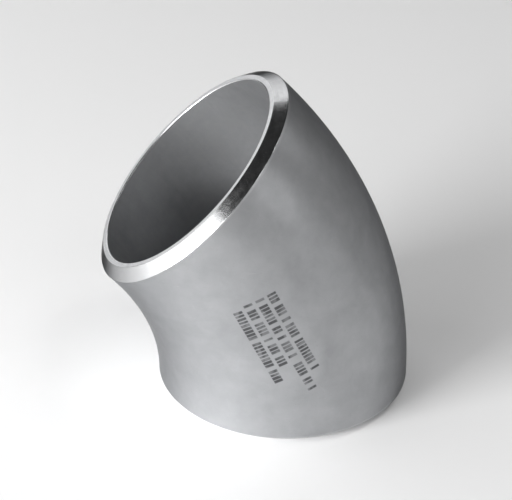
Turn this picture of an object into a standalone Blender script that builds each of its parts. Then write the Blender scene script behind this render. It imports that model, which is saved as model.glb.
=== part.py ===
"""Long-radius 45 degree butt-weld pipe elbow in stainless steel, standing on its lower weld end.

The elbow is one seamless piece: a pipe bent round a true arc, with a short straight and a machined weld
preparation at each end. Lengths are in metres and +Z is up. The bend lies in the XZ plane. Its lower leg
runs along Z, and its upper end leans towards -X.
"""

from math import radians, tan

import bmesh
import bpy
from mathutils import Matrix, Vector

# Driving dimensions
OUTSIDE_DIAMETER = 0.0889
WALL = 0.006
BEND_RADIUS = 0.1143  # of the centreline, one and a half times the nominal pipe size
BEND_ANGLE = radians(45.0)
STRAIGHT_END = 0.0021  # from each end face to where the bend starts
ROOT_FACE = 0.002  # flat ring left between the bore and the bevel, edge break included
EDGE_BREAK = 0.0003  # chamfer where the root face meets the bore, the same along and across
BEVEL_ANGLE = radians(37.5)  # between the bevel and the plane of the end face

# How finely the round surfaces are faceted
RING_SIDES = 72
BEND_STEPS = 15
SHARP_ANGLE = radians(25.0)

# Sizes that follow
OUTER_RADIUS = OUTSIDE_DIAMETER / 2
BORE_RADIUS = OUTER_RADIUS - WALL
ROOT_RADIUS = BORE_RADIUS + ROOT_FACE
BEVEL_DEPTH = (OUTER_RADIUS - ROOT_RADIUS) * tan(BEVEL_ANGLE)
UP = Vector((0.0, 0.0, 1.0))
BEND_CENTRE = Vector((-BEND_RADIUS, 0.0, STRAIGHT_END))
BEND_AXIS = Vector((0.0, -1.0, 0.0))

PICKLED, MACHINED = 0, 1  # material slots


def end_frames():
    """Matrices of the lower and the upper end face, each with its origin in the middle of the face and its
    +Z out of the pipe."""
    lower = Matrix.Rotation(radians(180.0), 4, "X")
    to_centre = Matrix.Translation(BEND_CENTRE)
    bend = to_centre @ Matrix.Rotation(BEND_ANGLE, 4, BEND_AXIS) @ to_centre.inverted()
    upper = bend @ Matrix.Translation(UP * STRAIGHT_END * 2)
    return lower, upper


def edges_in(geometry):
    return [item for item in geometry if isinstance(item, bmesh.types.BMEdge)]


def extruded(bm, ring):
    """Extrudes a ring of edges in place, and returns the new ring and its vertices."""
    made = bmesh.ops.extrude_edge_only(bm, edges=ring)["geom"]
    new_ring = edges_in(made)
    return new_ring, {vert for edge in new_ring for vert in edge.verts}


def straight(bm, ring, along):
    """Carries a ring on along a vector, as a short straight pipe."""
    new_ring, verts = extruded(bm, ring)
    bmesh.ops.translate(bm, verts=list(verts), vec=along)
    return new_ring


def swept_skin(bm, radius, cut_back):
    """Sweeps a circle from end face to end face and cuts both ends back square. Returns the open ring at
    the lower and at the upper end."""
    earlier = {*bm.verts, *bm.edges, *bm.faces}
    bmesh.ops.create_circle(bm, segments=RING_SIDES, radius=radius)
    ring = [edge for edge in bm.edges if edge not in earlier]
    ring = straight(bm, ring, UP * STRAIGHT_END)
    spun = bmesh.ops.spin(
        bm, geom=ring, cent=BEND_CENTRE, axis=BEND_AXIS, angle=BEND_ANGLE, steps=BEND_STEPS
    )
    upper_leg = Matrix.Rotation(BEND_ANGLE, 3, BEND_AXIS) @ UP
    straight(bm, edges_in(spun["geom_last"]), upper_leg * STRAIGHT_END)

    rings = []
    for frame in end_frames():
        skin = [item for item in (*bm.verts, *bm.edges, *bm.faces) if item not in earlier]
        cut = bmesh.ops.bisect_plane(
            bm,
            geom=skin,
            plane_co=frame @ (UP * -cut_back),
            plane_no=frame.to_3x3() @ UP,
            clear_outer=True,
        )
        rings.append(edges_in(cut["geom_cut"]))
    return rings


def turned(bm, ring, frame, radius):
    """Carries a ring to a circle of this radius in the plane of the end face, as a cutting tool leaves it."""
    new_ring, verts = extruded(bm, ring)
    to_face = frame.inverted()
    for vert in verts:
        outwards = (to_face @ vert.co).to_2d().normalized()
        vert.co = frame @ (outwards * radius).to_3d()
    return new_ring


def elbow_mesh():
    """The fitting as one closed mesh: the outer skin, the bore, and a bevel, root face and edge break that
    join them at each end."""
    bm = bmesh.new()
    outer_rings = swept_skin(bm, OUTER_RADIUS, BEVEL_DEPTH)
    bore_rings = swept_skin(bm, BORE_RADIUS, EDGE_BREAK)
    for face in bm.faces:
        face.material_index = PICKLED
    formed = set(bm.faces)
    for frame, outer_ring, bore_ring in zip(end_frames(), outer_rings, bore_rings):
        bevel_toe = turned(bm, outer_ring, frame, ROOT_RADIUS)
        face_edge = turned(bm, bevel_toe, frame, BORE_RADIUS + EDGE_BREAK)
        bmesh.ops.bridge_loops(bm, edges=face_edge + bore_ring)
    for face in bm.faces:
        if face not in formed:
            face.material_index = MACHINED
    bmesh.ops.recalc_face_normals(bm, faces=bm.faces)

    mesh = bpy.data.meshes.new("elbow")
    bm.to_mesh(mesh)
    bm.free()
    mesh.shade_smooth()
    mesh.set_sharp_from_angle(angle=SHARP_ANGLE)
    return mesh


def steel(name, colour, roughness):
    material = bpy.data.materials.new(name)
    material.use_nodes = True
    shader = material.node_tree.nodes["Principled BSDF"]
    shader.inputs["Base Color"].default_value = (*colour, 1.0)
    shader.inputs["Metallic"].default_value = 1.0
    shader.inputs["Roughness"].default_value = roughness
    return material


def place_elbow():
    """Adds the elbow to the scene, with the middle of its footprint's box on the origin."""
    mesh = elbow_mesh()
    mesh.materials.append(steel("pickled stainless steel", (0.56, 0.56, 0.57), 0.42))
    mesh.materials.append(steel("machined stainless steel", (0.66, 0.66, 0.67), 0.18))
    reach = [vert.co.x for vert in mesh.vertices]
    elbow = bpy.data.objects.new("elbow", mesh)
    elbow.location.x = -(min(reach) + max(reach)) / 2
    collection = bpy.data.collections.new("butt weld elbow")
    bpy.context.scene.collection.children.link(collection)
    collection.objects.link(elbow)


for leftover in list(bpy.data.objects):
    bpy.data.objects.remove(leftover)
place_elbow()
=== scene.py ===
from math import atan2, cos, pi, radians, sin, tan

import bmesh
import bpy
from mathutils import Matrix, Vector, noise


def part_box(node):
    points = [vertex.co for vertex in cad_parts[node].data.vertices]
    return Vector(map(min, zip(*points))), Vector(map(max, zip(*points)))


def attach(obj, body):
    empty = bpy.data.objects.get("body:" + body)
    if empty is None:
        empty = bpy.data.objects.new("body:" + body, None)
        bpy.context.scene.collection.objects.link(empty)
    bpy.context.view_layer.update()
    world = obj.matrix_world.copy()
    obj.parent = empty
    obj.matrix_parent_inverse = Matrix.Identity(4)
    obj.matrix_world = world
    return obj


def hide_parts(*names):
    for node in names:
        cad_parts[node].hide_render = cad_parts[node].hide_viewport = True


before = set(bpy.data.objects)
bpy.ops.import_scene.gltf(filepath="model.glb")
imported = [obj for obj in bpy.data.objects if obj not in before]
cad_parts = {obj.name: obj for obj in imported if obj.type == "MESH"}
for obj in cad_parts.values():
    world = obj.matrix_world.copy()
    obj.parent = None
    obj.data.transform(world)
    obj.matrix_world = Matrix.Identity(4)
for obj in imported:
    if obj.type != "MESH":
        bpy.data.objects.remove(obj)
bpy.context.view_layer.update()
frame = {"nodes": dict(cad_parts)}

scene = bpy.context.scene
print("frame loaded:", ", ".join(frame["nodes"]))

# the elbow, in metres, standing on its lower weld end with the bend in the XZ plane
elbow = {
    "wall": 0.006,
    "bendRadius": 0.1143,        # of the centreline
    "bendAngle": radians(45),
    "straightEnd": 0.0021,       # end face to the start of the bend
    "rootFace": 0.002,
    "boreBreak": 0.0003,         # chamfer between root face and bore
    "weldBevel": radians(37.5),  # from the plane of the end face
    "edgeRound": 0.00012,
    "edgeSteps": 3,
    "ringSides": 240,
    "bendSteps": 36,
    "holdLoops": (0.1, 0.5, 0.9),  # loops that keep a turned face flat, as shares of its width
    "wallHold": 0.0003,          # and one that does it for a wall, this far from its cut end
    "cutSnap": 0.00001,          # points this near to a cut are taken as on it
    "waviness": 0.00005,         # how deep the walls dip from their true round
    "waveSize": 0.02,            # and how wide the dips are
}

cornerLow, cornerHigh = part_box("elbow")
outerRadius = (cornerHigh.y - cornerLow.y) / 2
lowerX = cornerHigh.x - outerRadius  # the outside of the bend starts at the box's side
boreRadius = outerRadius - elbow["wall"]
rootRadius = boreRadius + elbow["rootFace"]
bevelDepth = (outerRadius - rootRadius) * tan(elbow["weldBevel"])
lowerCentre = Vector((lowerX, 0, 0))
bendCentre = lowerCentre + Vector((-elbow["bendRadius"], 0, elbow["straightEnd"]))
bendAxis = Vector((0, -1, 0))
up = Vector((0, 0, 1))
pipeLength = 2 * elbow["straightEnd"] + elbow["bendRadius"] * elbow["bendAngle"]
skinSlot, boreSlot, turnedSlot = 0, 1, 2


# lower and upper end face, each with its +Z pointing out of the pipe
def endMatrices():
    lower = Matrix.Translation(lowerCentre) @ Matrix.Rotation(pi, 4, "X")
    toBend = Matrix.Translation(bendCentre)
    bend = toBend @ Matrix.Rotation(elbow["bendAngle"], 4, bendAxis) @ toBend.inverted()
    upper = bend @ Matrix.Translation(lowerCentre + up * 2 * elbow["straightEnd"])
    return lower, upper


def onlyEdges(geometry):
    return [item for item in geometry if isinstance(item, bmesh.types.BMEdge)]


def extrudeRing(bm, ring):
    newRing = onlyEdges(bmesh.ops.extrude_edge_only(bm, edges=ring)["geom"])
    return newRing, {vert for edge in newRing for vert in edge.verts}


def pushRing(bm, ring, along):
    newRing, verts = extrudeRing(bm, ring)
    bmesh.ops.translate(bm, verts=list(verts), vec=along)
    return newRing


# one wall of the pipe, cut square at both ends; gives back its two open rings.
# the second cut at each end only adds a loop, and takes nothing away
def sweepWall(bm, radius, cutBack):
    before = {*bm.verts, *bm.edges, *bm.faces}
    bmesh.ops.create_circle(
        bm, segments=elbow["ringSides"], radius=radius, matrix=Matrix.Translation(lowerCentre)
    )
    ring = [edge for edge in bm.edges if edge not in before]
    ring = pushRing(bm, ring, up * elbow["straightEnd"])
    spun = bmesh.ops.spin(
        bm, geom=ring, cent=bendCentre, axis=bendAxis, angle=elbow["bendAngle"],
        steps=elbow["bendSteps"],
    )
    upperLeg = Matrix.Rotation(elbow["bendAngle"], 3, bendAxis) @ up
    pushRing(bm, onlyEdges(spun["geom_last"]), upperLeg * elbow["straightEnd"])
    rings = []
    for end in endMatrices():
        for depth in (cutBack, cutBack + elbow["wallHold"]):
            wall = [item for item in (*bm.verts, *bm.edges, *bm.faces) if item not in before]
            cut = bmesh.ops.bisect_plane(
                bm, geom=wall, dist=elbow["cutSnap"], plane_co=end @ (up * -depth),
                plane_no=end.to_3x3() @ up, clear_outer=depth == cutBack,
            )
            if depth == cutBack:
                rings.append(onlyEdges(cut["geom_cut"]))
    return rings


# a turned face, from the ring's circle to another one in the plane of the end
def turnTo(bm, ring, end, radius):
    toEnd = end.inverted()
    # the ring's middle point by radius, because the order of its edges changes from run to run
    points = [toEnd @ vert.co for edge in ring for vert in edge.verts]
    start = sorted(points, key=lambda point: point.to_2d().length)[len(points) // 2]
    startRadius = start.to_2d().length
    for share in (*elbow["holdLoops"], 1):
        ring, verts = extrudeRing(bm, ring)
        newRadius = startRadius + (radius - startRadius) * share
        for vert in verts:
            out = (toEnd @ vert.co).to_2d().normalized() * newRadius
            vert.co = end @ Vector((out.x, out.y, start.z * (1 - share)))
    return ring


# where a point of the bent pipe lies on the same pipe pulled straight
def straightened(co):
    local = co - bendCentre
    angle = min(max(atan2(local.z, local.x), 0), elbow["bendAngle"])
    radial = Vector((cos(angle), 0, sin(angle)))
    along = Vector((-sin(angle), 0, cos(angle)))
    return Vector((
        local.dot(radial) - elbow["bendRadius"],
        local.y,
        elbow["straightEnd"] + angle * elbow["bendRadius"] + local.dot(along),
    ))


def makeElbow():
    bm = bmesh.new()
    outerRings = sweepWall(bm, outerRadius, bevelDepth)
    for face in bm.faces:
        face.material_index = skinSlot
    skin = set(bm.faces)
    boreRings = sweepWall(bm, boreRadius, elbow["boreBreak"])
    for face in bm.faces:
        if face not in skin:
            face.material_index = boreSlot
    walls = set(bm.faces)
    corners = []
    for end, outerRing, boreRing in zip(endMatrices(), outerRings, boreRings):
        toe = turnTo(bm, outerRing, end, rootRadius)
        lip = turnTo(bm, toe, end, boreRadius + elbow["boreBreak"])
        bmesh.ops.bridge_loops(bm, edges=lip + boreRing)
        corners += outerRing + toe + lip + boreRing
    for face in bm.faces:
        if face not in walls:
            face.material_index = turnedSlot
    bmesh.ops.recalc_face_normals(bm, faces=bm.faces)
    bmesh.ops.bevel(
        bm, geom=corners, offset=elbow["edgeRound"], offset_type="OFFSET", affect="EDGES",
        segments=elbow["edgeSteps"], profile=0.5, material=-1, clamp_overlap=True,
    )

    # slight dips left by forming, never outside the true round; the turned faces stay true
    bm.normal_update()
    for vert in bm.verts:
        if any(face.material_index == turnedSlot for face in vert.link_faces):
            continue
        depth = (noise.noise(vert.co / elbow["waveSize"]) + 1) / 2
        vert.co -= vert.normal * depth * elbow["waviness"]

    for face in bm.faces:
        face.smooth = True
    mesh = bpy.data.meshes.new("weldElbow")
    bm.to_mesh(mesh)
    bm.free()
    unbent = mesh.attributes.new("unbent", "FLOAT_VECTOR", "POINT")
    unbent.data.foreach_set("vector", [n for vert in mesh.vertices for n in straightened(vert.co)])
    return mesh


weldElbow = bpy.data.objects.new("weldElbow", makeElbow())
scene.collection.objects.link(weldElbow)
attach(weldElbow, "root")
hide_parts("elbow")
print("elbow made:", len(weldElbow.data.polygons), "faces")


# node shorthands: a value given as a socket is linked, anything else is typed in
def addNode(tree, kind, inputs=None, **settings):
    node = tree.nodes.new("ShaderNode" + kind)
    for name, value in settings.items():
        setattr(node, name, value)
    for name, value in (inputs or {}).items():
        if isinstance(value, bpy.types.NodeSocket):
            tree.links.new(value, node.inputs[name])
        else:
            node.inputs[name].default_value = value
    return node


def reckon(tree, operation, *values):
    return addNode(tree, "Math", dict(enumerate(values)), operation=operation).outputs[0]


def reRange(tree, value, start, stop, low=0.0, high=1.0, smooth=False):
    kind = "SMOOTHSTEP" if smooth else "LINEAR"
    inputs = {"Value": value, "From Min": start, "From Max": stop, "To Min": low, "To Max": high}
    return addNode(tree, "MapRange", inputs, interpolation_type=kind).outputs[0]


def blendColour(tree, share, under, over):
    node = addNode(tree, "Mix", {0: share, 6: under, 7: over}, data_type="RGBA")
    return node.outputs[2]


def cloudNoise(tree, point, scale, detail=3.0, rough=0.55, warp=0.0):
    inputs = {
        "Vector": point, "Scale": scale, "Detail": detail, "Roughness": rough, "Distortion": warp,
    }
    return addNode(tree, "TexNoise", inputs).outputs["Fac"]


# a bumped normal from a height, on top of an earlier one where that is given
def bumpFrom(tree, height, depth, over=None):
    inputs = {"Height": height, "Distance": depth, "Strength": 1.0}
    if over is not None:
        inputs["Normal"] = over
    return addNode(tree, "Bump", inputs).outputs[0]


# an empty node group and its sockets, each given as {name: kind}
def startGroup(name, takes, gives):
    group = bpy.data.node_groups.new(name, "ShaderNodeTree")
    for label, kind in takes.items():
        group.interface.new_socket(label, in_out="INPUT", socket_type="NodeSocket" + kind)
    for label, kind in gives.items():
        group.interface.new_socket(label, in_out="OUTPUT", socket_type="NodeSocket" + kind)
    given = group.nodes.new("NodeGroupInput").outputs
    result = group.nodes.new("NodeGroupOutput").inputs
    return group, given, result


def useGroup(tree, group, inputs):
    return addNode(tree, "Group", inputs, node_tree=group).outputs


# soft patches left by pickling, from 0 dull to 1 bright
patches = {
    "smallerBy": 3.7,                # how much finer the small patches are than the broad ones
    "broadShare": 0.6,
    "cutOff": (0.3, 0.7),
}


def pickleCloudGroup():
    group, given, result = startGroup(
        "pickleClouds", {"Point": "Vector", "Patches per metre": "Float"}, {"Tone": "Float"}
    )
    perMetre = given["Patches per metre"]
    broad = cloudNoise(group, given["Point"], perMetre, detail=2, warp=0.6)
    finer = reckon(group, "MULTIPLY", perMetre, patches["smallerBy"])
    small = cloudNoise(group, given["Point"], finer, detail=4, rough=0.6, warp=0.3)
    broad = reckon(group, "MULTIPLY", broad, patches["broadShare"])
    both = reckon(group, "MULTIPLY_ADD", small, 1 - patches["broadShare"], broad)
    group.links.new(reRange(group, both, *patches["cutOff"]), result["Tone"])
    return group


# dimples and pits left by blasting
grains = {
    "dimplesPerGrain": 0.45,
    "dimpleEdges": (0.1, 0.6),
    "dimpleShare": 0.5,              # of the height; fine noise makes the rest
    "pitEdges": (0.2, 0.08),
}


def blastGrainGroup():
    group, given, result = startGroup(
        "blastGrain",
        {"Point": "Vector", "Grains per metre": "Float"},
        {"Height": "Float", "Pits": "Float"},
    )
    perMetre = given["Grains per metre"]
    fine = cloudNoise(group, given["Point"], perMetre, detail=2, rough=0.6)
    cellScale = reckon(group, "MULTIPLY", perMetre, grains["dimplesPerGrain"])
    cells = addNode(
        group, "TexVoronoi", {"Vector": given["Point"], "Scale": cellScale}, feature="F1"
    ).outputs["Distance"]
    dimples = reRange(group, cells, *grains["dimpleEdges"], smooth=True)
    fine = reckon(group, "MULTIPLY", fine, 1 - grains["dimpleShare"])
    height = reckon(group, "MULTIPLY_ADD", dimples, grains["dimpleShare"], fine)
    group.links.new(height, result["Height"])
    group.links.new(reRange(group, cells, *grains["pitEdges"]), result["Pits"])
    return group


# short faint scratches in three directions, in patches
scratches = {
    "turns": ((0.3, 0.5, 0.2), (1.1, -0.6, 0.9), (-0.7, 0.2, 1.9)),
    "linesPerMetre": (60, 1700, 1700),  # along a scratch, and across it
    "cutOff": (0.72, 0.8),           # the peaks of the noise that become scratches
    "patchesPerMetre": 45,
    "patchCutOff": (0.45, 0.65),
}


def handlingMarkGroup():
    group, given, result = startGroup(
        "handlingMarks", {"Point": "Vector", "Amount": "Float"}, {"Mask": "Float"}
    )
    mask = 0.0
    for turn in scratches["turns"]:
        stretched = addNode(
            group, "Mapping",
            {"Vector": given["Point"], "Rotation": turn, "Scale": scratches["linesPerMetre"]},
        ).outputs[0]
        lines = reRange(group, cloudNoise(group, stretched, 1, detail=1), *scratches["cutOff"])
        mask = reckon(group, "MAXIMUM", mask, lines)
    places = cloudNoise(group, given["Point"], scratches["patchesPerMetre"], detail=2)
    places = reRange(group, places, *scratches["patchCutOff"])
    mask = reckon(group, "MULTIPLY", mask, places)
    group.links.new(reckon(group, "MULTIPLY", mask, given["Amount"]), result["Mask"])
    return group


pickleClouds = pickleCloudGroup()
blastGrain = blastGrainGroup()
handlingMarks = handlingMarkGroup()
print("finish groups built")


# a metal with its own colours still to come, the object's coordinates and the pulled-straight ones
def newMetal(name, look):
    material = bpy.data.materials.new(name)
    material.use_nodes = True
    tree = material.node_tree
    shader = tree.nodes["Principled BSDF"]
    shader.inputs["Metallic"].default_value = 1
    shader.inputs["Specular Tint"].default_value = look["edgeTint"]
    point = addNode(tree, "TexCoord").outputs["Object"]
    attribute = addNode(tree, "Attribute", attribute_name="unbent", attribute_type="GEOMETRY")
    return material, tree, shader, point, attribute.outputs["Vector"]


# four rows of plain printed blocks on the near side
printLook = {
    "centre": (0.0022, -0.0444, 0.0442),
    "turn": (radians(90), radians(62.9), 0),  # X along the rows, Y across, Z out of the skin
    "reach": 0.01,                   # how far behind its centre the print still lies
    "rowPitch": 0.0043,
    "rowHeight": 0.0031,
    "rowStart": -0.0173,
    "rowBlocks": (24, 20, 30, 26),   # from the bottom row up
    "blockPitch": 0.0014,
    "blockShare": (0.6, 0.9),        # narrowest and widest block, of the pitch
    "blankShare": 0.14,
    "softEdge": 0.0004,
    "colour": (0.075, 0.077, 0.08, 1),
    "strength": 0.92,
    "blotchesPerMetre": 260,
    "inkCutOff": (0.4, 0.56),        # where the blotches thin the ink, and where they leave it
    "thinInk": 0.58,                 # share of the ink left where it is thin
}


# how far a number is from the middle of its step, from 0 to 0.5
def offMiddle(tree, value):
    return reckon(tree, "ABSOLUTE", reckon(tree, "SUBTRACT", reckon(tree, "FRACT", value), 0.5))


# 1 inside a printed block and 0 elsewhere
def printMask(tree, point):
    rows = len(printLook["rowBlocks"])
    mostBlocks = max(printLook["rowBlocks"])
    local = addNode(
        tree, "Mapping",
        {"Vector": point, "Location": printLook["centre"], "Rotation": printLook["turn"]},
        vector_type="TEXTURE",
    ).outputs[0]
    axes = addNode(tree, "SeparateXYZ", {"Vector": local}).outputs

    rowsUp = reckon(tree, "MULTIPLY_ADD", axes["Y"], 1 / printLook["rowPitch"], rows / 2)
    row = reckon(tree, "FLOOR", rowsUp)
    halfRow = printLook["rowHeight"] / printLook["rowPitch"] / 2
    fade = printLook["softEdge"] / printLook["rowPitch"] / 2
    mask = reRange(tree, offMiddle(tree, rowsUp), halfRow + fade, halfRow - fade, smooth=True)
    inRows = reckon(tree, "COMPARE", row, (rows - 1) / 2, rows / 2)

    # each row stops at its own number of blocks
    rowShare = reckon(tree, "MULTIPLY_ADD", row, 1 / rows, 0.5 / rows)
    ramp = addNode(tree, "ValToRGB", {"Fac": rowShare})
    ramp.color_ramp.interpolation = "CONSTANT"
    stops = ramp.color_ramp.elements
    while len(stops) < rows:
        stops.new(0.5)
    for number, blocks in enumerate(printLook["rowBlocks"]):
        stops[number].position = number / rows
        stops[number].color = (*[blocks / mostBlocks] * 3, 1)
    lastBlock = reckon(tree, "MULTIPLY", ramp.outputs["Color"], mostBlocks)
    blocksAlong = reckon(
        tree, "MULTIPLY_ADD", axes["X"], 1 / printLook["blockPitch"],
        -printLook["rowStart"] / printLook["blockPitch"],
    )
    started = reckon(tree, "GREATER_THAN", blocksAlong, 0)
    unfinished = reckon(tree, "LESS_THAN", blocksAlong, lastBlock)

    # every block has its own width, and now and then one is left out
    block = reckon(tree, "FLOOR", blocksAlong)
    cell = addNode(tree, "CombineXYZ", {"X": block, "Y": row}).outputs[0]
    chance = addNode(tree, "TexWhiteNoise", {"Vector": cell}).outputs
    narrow, wide = printLook["blockShare"]
    halfBlock = reRange(tree, chance["Value"], 0, 1, narrow / 2, wide / 2)
    fade = printLook["softEdge"] / printLook["blockPitch"] / 2
    pastEdge = reckon(tree, "SUBTRACT", offMiddle(tree, blocksAlong), halfBlock)
    inBlock = reRange(tree, pastEdge, fade, -fade, smooth=True)
    otherChance = addNode(tree, "SeparateColor", {"Color": chance["Color"]}).outputs["Green"]
    printed = reckon(tree, "GREATER_THAN", otherChance, printLook["blankShare"])
    nearSide = reckon(tree, "GREATER_THAN", axes["Z"], -printLook["reach"])
    for part in (inRows, started, unfinished, inBlock, printed, nearSide):
        mask = reckon(tree, "MULTIPLY", mask, part)
    return mask


# the blasted and pickled outside
skinLook = {
    "dullColour": (0.367, 0.373, 0.384, 1),
    "brightColour": (0.475, 0.482, 0.495, 1),
    "roughness": (0.48, 0.4),        # dull patches, bright patches
    "edgeTint": (0.12, 0.12, 0.12, 1),
    "patchesPerMetre": 45,
    "grainsPerMetre": 1900,
    "grainDepth": 0.00001,
    "pitShade": 0.5,
    "scuffs": 0.35,
    "scuffRoughness": -0.2,          # scuffs rub the skin smoother
    "polishedRim": 0.0006,           # how far the machined edge has been rubbed bright
    "rimRagsPerMetre": 300,
    "rimShare": 0.6,
    "rimColour": (0.56, 0.563, 0.57, 1),
}


def blastedSkin():
    material, tree, shader, point, unbent = newMetal("blastedSkin", skinLook)
    clouds = useGroup(
        tree, pickleClouds, {"Point": point, "Patches per metre": skinLook["patchesPerMetre"]}
    )["Tone"]
    grain = useGroup(
        tree, blastGrain, {"Point": point, "Grains per metre": skinLook["grainsPerMetre"]}
    )
    scuffs = useGroup(tree, handlingMarks, {"Point": point, "Amount": skinLook["scuffs"]})["Mask"]

    colour = blendColour(tree, clouds, skinLook["dullColour"], skinLook["brightColour"])
    pitted = reckon(tree, "MULTIPLY", grain["Pits"], skinLook["pitShade"])
    colour = blendColour(tree, pitted, colour, skinLook["dullColour"])
    colour = blendColour(tree, scuffs, colour, skinLook["rimColour"])

    # rubbed bright where the skin meets the machined ends
    height = addNode(tree, "SeparateXYZ", {"Vector": unbent}).outputs["Z"]
    fromEnd = reckon(tree, "MINIMUM", height, reckon(tree, "SUBTRACT", pipeLength, height))
    rags = cloudNoise(tree, point, skinLook["rimRagsPerMetre"])
    ragged = reckon(tree, "MULTIPLY_ADD", rags, -skinLook["polishedRim"], fromEnd)
    rim = reRange(tree, ragged, bevelDepth + skinLook["polishedRim"] / 2, bevelDepth, smooth=True)
    rim = reckon(tree, "MULTIPLY", rim, skinLook["rimShare"])
    colour = blendColour(tree, rim, colour, skinLook["rimColour"])

    printed = reckon(tree, "MULTIPLY", printMask(tree, point), printLook["strength"])
    blotches = cloudNoise(tree, point, printLook["blotchesPerMetre"], detail=2, warp=0.5)
    uneven = reRange(tree, blotches, *printLook["inkCutOff"], printLook["thinInk"], 1)
    printed = reckon(tree, "MULTIPLY", printed, uneven)
    colour = blendColour(tree, printed, colour, printLook["colour"])
    tree.links.new(colour, shader.inputs["Base Color"])

    dull, bright = skinLook["roughness"]
    rough = reRange(tree, clouds, 0, 1, dull, bright)
    rough = reckon(tree, "MULTIPLY_ADD", scuffs, skinLook["scuffRoughness"], rough)
    tree.links.new(rough, shader.inputs["Roughness"])
    grained = bumpFrom(tree, grain["Height"], skinLook["grainDepth"])
    tree.links.new(grained, shader.inputs["Normal"])
    return material


# the inside, pickled but not blasted
boreLook = {
    "dullColour": (0.262, 0.266, 0.273, 1),
    "brightColour": (0.35, 0.355, 0.364, 1),
    "roughness": (0.62, 0.52),
    "edgeTint": (0.3, 0.3, 0.3, 1),
    "patchesPerMetre": 60,
    "grainsPerMetre": 1400,
    "grainDepth": 0.00001,
    "pitShade": 0.35,
    "drawLines": 0.3,                # share of the tone that the lines take
    "linesPerMetre": (600, 600, 18),  # across the pipe both ways, and along it
}


def pickledBore():
    material, tree, shader, point, unbent = newMetal("pickledBore", boreLook)
    clouds = useGroup(
        tree, pickleClouds, {"Point": point, "Patches per metre": boreLook["patchesPerMetre"]}
    )["Tone"]
    grain = useGroup(
        tree, blastGrain, {"Point": point, "Grains per metre": boreLook["grainsPerMetre"]}
    )
    # faint lines along the pipe, left by the mandrel
    stretched = addNode(
        tree, "Mapping", {"Vector": unbent, "Scale": boreLook["linesPerMetre"]}
    ).outputs[0]
    lines = cloudNoise(tree, stretched, 1, detail=3)
    lines = reckon(tree, "MULTIPLY", lines, boreLook["drawLines"])
    tone = reckon(tree, "MULTIPLY_ADD", clouds, 1 - boreLook["drawLines"], lines)
    colour = blendColour(tree, tone, boreLook["dullColour"], boreLook["brightColour"])
    pitted = reckon(tree, "MULTIPLY", grain["Pits"], boreLook["pitShade"])
    colour = blendColour(tree, pitted, colour, boreLook["dullColour"])
    tree.links.new(colour, shader.inputs["Base Color"])
    dull, bright = boreLook["roughness"]
    tree.links.new(reRange(tree, tone, 0, 1, dull, bright), shader.inputs["Roughness"])
    grained = bumpFrom(tree, grain["Height"], boreLook["grainDepth"])
    tree.links.new(grained, shader.inputs["Normal"])
    return material


# bevel and root face, turned bright
turnedLook = {
    "darkColour": (0.56, 0.565, 0.574, 1),
    "brightColour": (0.74, 0.746, 0.757, 1),
    "roughness": (0.13, 0.21),       # bright patches, dark patches
    "edgeTint": (0.03, 0.03, 0.03, 1),
    "patchesPerMetre": 120,
    "grooveWidth": 0.00022,
    "grooveDepth": 0.0000012,
    "grooveShare": 0.5,              # of the tone; the patches make the rest
    "toneSpread": (0.25, 0.75),      # the tones with the most and the least roughness
    "chatterWidth": 0.0028,          # waves along the ring, left by the tool's chatter
    "chatterDepth": 0.000012,
    "specksPerMetre": 800,           # small dull specks where the tool tore the metal
    "speckCutOff": (0.4, 0.7),
    "speckRoughness": 0.05,
    "scuffs": 0.5,
    "scuffRoughness": 0.15,          # scuffs dull the turned metal
}


def turnedEnd():
    material, tree, shader, point, unbent = newMetal("turnedEnd", turnedLook)
    parts = addNode(tree, "SeparateXYZ", {"Vector": unbent}).outputs
    flat = addNode(tree, "CombineXYZ", {"X": parts["X"], "Y": parts["Y"]}).outputs[0]
    radius = addNode(tree, "VectorMath", {0: flat}, operation="LENGTH").outputs["Value"]
    # grooves are noise that changes with the radius alone
    grooveNoise = addNode(
        tree, "TexNoise", {"W": radius, "Scale": 1 / turnedLook["grooveWidth"], "Detail": 2},
        noise_dimensions="1D",
    ).outputs["Fac"]
    # chatter changes only round the ring
    rim = addNode(tree, "VectorMath", {0: flat}, operation="NORMALIZE").outputs[0]
    chatter = cloudNoise(tree, rim, outerRadius / turnedLook["chatterWidth"], detail=1)
    clouds = useGroup(
        tree, pickleClouds, {"Point": point, "Patches per metre": turnedLook["patchesPerMetre"]}
    )["Tone"]
    scuffs = useGroup(
        tree, handlingMarks, {"Point": point, "Amount": turnedLook["scuffs"]}
    )["Mask"]

    tone = reckon(tree, "MULTIPLY", clouds, 1 - turnedLook["grooveShare"])
    tone = reckon(tree, "MULTIPLY_ADD", grooveNoise, turnedLook["grooveShare"], tone)
    colour = blendColour(tree, tone, turnedLook["darkColour"], turnedLook["brightColour"])
    tree.links.new(colour, shader.inputs["Base Color"])
    smooth, rough = turnedLook["roughness"]
    roughness = reRange(tree, tone, *turnedLook["toneSpread"], rough, smooth)
    roughness = reckon(tree, "MULTIPLY_ADD", scuffs, turnedLook["scuffRoughness"], roughness)
    specks = cloudNoise(tree, point, turnedLook["specksPerMetre"], detail=2)
    specks = reRange(tree, specks, *turnedLook["speckCutOff"])
    roughness = reckon(tree, "MULTIPLY_ADD", specks, turnedLook["speckRoughness"], roughness)
    tree.links.new(roughness, shader.inputs["Roughness"])
    waves = bumpFrom(tree, chatter, turnedLook["chatterDepth"])
    grooves = bumpFrom(tree, grooveNoise, turnedLook["grooveDepth"], over=waves)
    tree.links.new(grooves, shader.inputs["Normal"])
    return material


for finish in (blastedSkin, pickledBore, turnedEnd):
    weldElbow.data.materials.append(finish())
    print("finish:", finish.__name__)


view = {
    "aim": (-0.0009, -0.0015, 0.0525),
    "distance": 0.6816,
    "azimuth": radians(-5.583),   # from the middle of the near side, towards +X
    "elevation": radians(31.988),
    "roll": radians(1.374),
    "lens": 138.39,
    "sensor": 36,
}


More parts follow.
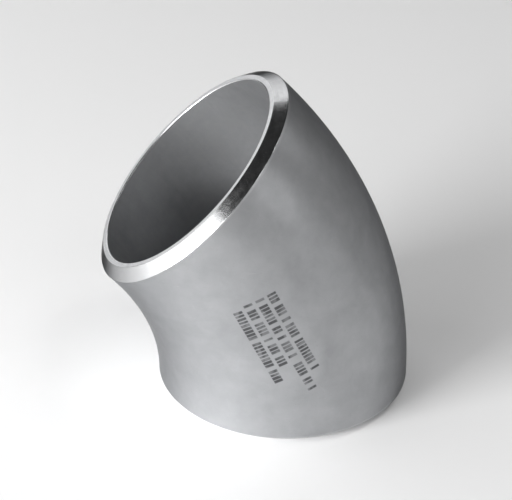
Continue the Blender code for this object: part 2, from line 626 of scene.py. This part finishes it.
def placeCamera():
    camera = bpy.data.cameras.new("camera")
    camera.sensor_width = view["sensor"]
    camera.lens = view["lens"]
    holder = bpy.data.objects.new("camera", camera)
    scene.collection.objects.link(holder)
    turn = (
        Matrix.Rotation(view["azimuth"], 4, "Z")
        @ Matrix.Rotation(pi / 2 - view["elevation"], 4, "X")
        @ Matrix.Rotation(view["roll"], 4, "Z")
    )
    away = turn @ Matrix.Translation((0, 0, view["distance"]))
    holder.matrix_world = Matrix.Translation(view["aim"]) @ away
    scene.camera = holder


placeCamera()

# a round pale floor that curves up into a low wall, dim above it
studio = {
    "floorRadius": 2.0,
    "sweepRadius": 0.7,
    "sweepSteps": 16,
    "roundSteps": 96,
    "mergeDistance": 0.0001,
    "wallHeight": 0.8,
    "floorColour": (0.85, 0.85, 0.85, 1),
    "worldColour": (1, 1, 1, 1),
    "worldStrength": 0.02,
}


def makeFloor():
    bm = bmesh.new()
    bottom = bm.verts.new((0, 0, 0))
    grown = bmesh.ops.extrude_vert_indiv(bm, verts=[bottom])
    edge = grown["verts"][0]
    edge.co.x = studio["floorRadius"]
    sweepCentre = (studio["floorRadius"], 0, studio["sweepRadius"])
    swept = bmesh.ops.spin(
        bm, geom=[edge], cent=sweepCentre, axis=(0, -1, 0), angle=pi / 2,
        steps=studio["sweepSteps"],
    )
    top = bmesh.ops.extrude_vert_indiv(
        bm, verts=[item for item in swept["geom_last"] if isinstance(item, bmesh.types.BMVert)]
    )
    top["verts"][0].co.z = studio["wallHeight"]
    bmesh.ops.spin(
        bm, geom=list(bm.verts) + list(bm.edges), cent=(0, 0, 0), axis=(0, 0, 1), angle=2 * pi,
        steps=studio["roundSteps"], use_merge=True,
    )
    bmesh.ops.remove_doubles(bm, verts=bm.verts, dist=studio["mergeDistance"])
    bmesh.ops.recalc_face_normals(bm, faces=bm.faces)
    for face in bm.faces:
        face.smooth = True
    mesh = bpy.data.meshes.new("floor")
    bm.to_mesh(mesh)
    bm.free()
    floor = bpy.data.objects.new("floor", mesh)
    scene.collection.objects.link(floor)
    paint = bpy.data.materials.new("floorPaint")
    paint.use_nodes = True
    shader = paint.node_tree.nodes["Principled BSDF"]
    shader.inputs["Base Color"].default_value = studio["floorColour"]
    shader.inputs["Roughness"].default_value = 1
    shader.inputs["Specular IOR Level"].default_value = 0
    mesh.materials.append(paint)


makeFloor()

world = bpy.data.worlds.new("studioWorld")
scene.world = world
world.use_nodes = True
sky = world.node_tree.nodes["Background"]
sky.inputs["Color"].default_value = studio["worldColour"]
sky.inputs["Strength"].default_value = studio["worldStrength"]

# softboxes aimed at the elbow: azimuth runs from the near side towards +X, sizes in metres
lamps = {
    "lowKey": {"azimuth": 303, "elevation": 6, "size": (0.6, 0.34), "glow": 54},
    "keyMid": {"azimuth": 310, "elevation": 29, "size": (0.76, 0.47), "glow": 4.6},
    "keyTop": {"azimuth": 335, "elevation": 50, "size": (0.41, 0.32), "glow": 0.95},
    "leftBox": {"azimuth": 266, "elevation": 20, "size": (0.86, 1.0), "glow": 1.4},
    "backBox": {"azimuth": 200, "elevation": 20, "size": (1.02, 1.0), "glow": 1.3},
    "backRight": {"azimuth": 161, "elevation": 28, "size": (0.41, 0.64), "glow": 0.7},
    "frontTop": {"azimuth": 30, "elevation": 50, "size": (0.56, 0.32), "glow": 2.2},
    "rightLow": {"azimuth": 56, "elevation": 13, "size": (0.5, 0.47), "glow": 1.35},
    "rightHigh": {"azimuth": 98, "elevation": 27, "size": (0.36, 0.3), "glow": 1.7},
    "overhead": {"azimuth": 80, "elevation": 67, "size": (0.3, 0.3), "glow": 6.8},
    "topFront": {"azimuth": 0, "elevation": 72, "size": (0.3, 0.3), "glow": 2.6},
}
lampDistance = 1.2
lampTarget = Vector((0, 0, 0.055))


def hangLamp(name, lamp):
    width, height = lamp["size"]
    light = bpy.data.lights.new(name, "AREA")
    light.shape = "RECTANGLE"
    light.size, light.size_y = width, height
    light.energy = lamp["glow"] * pi * width * height  # glow 1 looks as bright as a white wall
    holder = bpy.data.objects.new(name, light)
    scene.collection.objects.link(holder)
    azimuth, elevation = radians(lamp["azimuth"]), radians(lamp["elevation"])
    out = Vector((sin(azimuth) * cos(elevation), -cos(azimuth) * cos(elevation), sin(elevation)))
    holder.location = lampTarget + out * lampDistance
    holder.rotation_euler = (-out).to_track_quat("-Z", "Y").to_euler()
    holder.visible_camera = False


for name, lamp in lamps.items():
    hangLamp(name, lamp)
print("studio set with", len(lamps), "lamps")

scene.view_settings.view_transform = "Standard"
